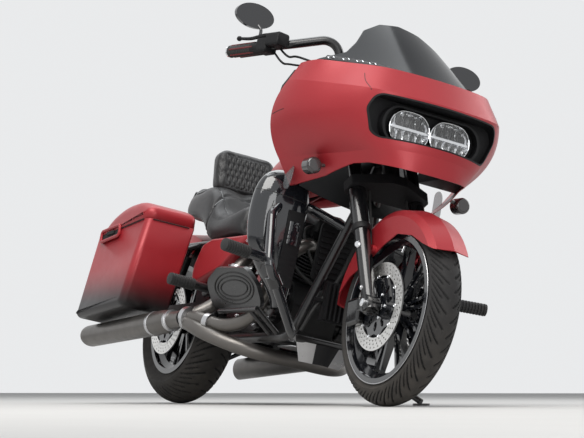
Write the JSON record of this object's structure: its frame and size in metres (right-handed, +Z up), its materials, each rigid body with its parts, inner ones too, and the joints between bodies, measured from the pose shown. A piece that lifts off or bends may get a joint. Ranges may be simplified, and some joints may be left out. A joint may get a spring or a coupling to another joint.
{
  "type": "touring cruiser motorcycle",
  "caption": "Two-wheeled touring motorcycle with a frame-mounted front fairing, hard saddlebags and a V-twin engine, leaning on its side stand; wheels, steering, stand and lids move.",
  "frame": {"origin": "centre of the bounding box at ground level, with the machine parked and leaning on its side stand", "axes": "+X points forward, +Y to the left of the rider, +Z up; the machine leans 11.2 degrees to its left about the ground line"},
  "size_m": [2.2983, 1.1956, 1.4194],
  "materials": {
    "frame_black": "gloss",
    "engine_black": "satin",
    "engine_cover_black": "gloss",
    "exhaust_grey": "satin",
    "cooler_black": "satin",
    "body_red": "satin",
    "seat_leather": "grained",
    "red_lens": "gloss",
    "shield_black": "gloss",
    "axle_steel": "polished",
    "caliper_black": "satin",
    "belt_rubber": "matte",
    "bezel_black": "matte",
    "lamp_glass": "clear",
    "screen_smoke": "smoked",
    "dash_black": "matte",
    "signal_smoke": "smoked",
    "fork_black": "gloss",
    "bar_black": "satin",
    "grip_rubber": "matte",
    "mirror_black": "gloss",
    "rim_black": "gloss",
    "tyre": "matte",
    "disc_steel": "ground"
  },
  "bodies": {
    "chassis": {"main_frame": "frame_black", "engine_guard": "frame_black", "swingarm": "frame_black", "footrests": "frame_black", "crankcase": "engine_black", "cylinder_front": "engine_black", "cylinder_rear": "engine_black", "primary_cover": "engine_cover_black", "cam_cover": "engine_cover_black", "air_cleaner": "engine_cover_black", "exhaust": "exhaust_grey", "oil_cooler": "cooler_black", "fuel_tank": "body_red", "seat": "seat_leather", "rider_backrest": "seat_leather", "side_covers": "body_red", "rear_fender": "body_red", "tail_lamp": "red_lens", "lower_fairings": "shield_black", "rear_axle": "axle_steel", "rear_caliper": "caliper_black", "shock_absorbers": "frame_black", "drive_belt": "belt_rubber", "fairing_shell": "body_red", "headlight_bezel": "bezel_black", "headlamps": "lamp_glass", "windshield": "screen_smoke", "inner_fairing": "dash_black", "front_turn_signals": "signal_smoke", "saddlebag_left": "body_red", "saddlebag_right": "body_red"},
    "steering": {"fork_legs": "fork_black", "triple_clamps": "fork_black", "handlebar": "bar_black", "hand_controls": "grip_rubber", "mirrors": "mirror_black", "front_fender": "body_red", "front_axle": "axle_steel", "front_calipers": "caliper_black"},
    "front_wheel": {"front_rim": "rim_black", "front_tyre": "tyre", "front_brake_discs": "disc_steel"},
    "rear_wheel": {"rear_rim": "rim_black", "rear_tyre": "tyre", "rear_brake_disc": "disc_steel", "rear_pulley": "engine_cover_black"},
    "side_stand": {"side_stand": "frame_black"},
    "lid_left": {"saddlebag_lid_left": "body_red"},
    "lid_right": {"saddlebag_lid_right": "body_red"}
  },
  "joints": [
    {"name": "steering_head", "type": "hinge", "parent": "chassis", "child": "steering", "pos_m": [0.58269, 0.00471, 0.84684], "axis": [-0.4381, 0.1746, 0.8818], "range_deg": [-30, 30]},
    {"name": "front_wheel_spin", "type": "hinge", "parent": "steering", "child": "front_wheel", "pos_m": [0.82995, -0.1007, 0.3144], "axis": [-0.0001, 0.981, -0.1942], "continuous": true},
    {"name": "rear_wheel_spin", "type": "hinge", "parent": "chassis", "child": "rear_wheel", "pos_m": [-0.79505, -0.10053, 0.31578], "axis": [-0.0001, 0.981, -0.1942], "continuous": true},
    {"name": "stand_fold", "type": "hinge", "parent": "chassis", "child": "side_stand", "pos_m": [0.3049, 0.06292, 0.15239], "axis": [0.2554, 0.5547, 0.7919], "range_deg": [0, 135.37]},
    {"name": "lid_left_hinge", "type": "hinge", "parent": "chassis", "child": "lid_left", "pos_m": [-0.62021, 0.18399, 0.53761], "axis": [0.9927, 0.0234, 0.118], "range_deg": [0, 60]},
    {"name": "lid_right_hinge", "type": "hinge", "parent": "chassis", "child": "lid_right", "pos_m": [-0.62018, -0.27902, 0.62929], "axis": [-0.9927, -0.0234, -0.118], "range_deg": [0, 60]}
  ]
}
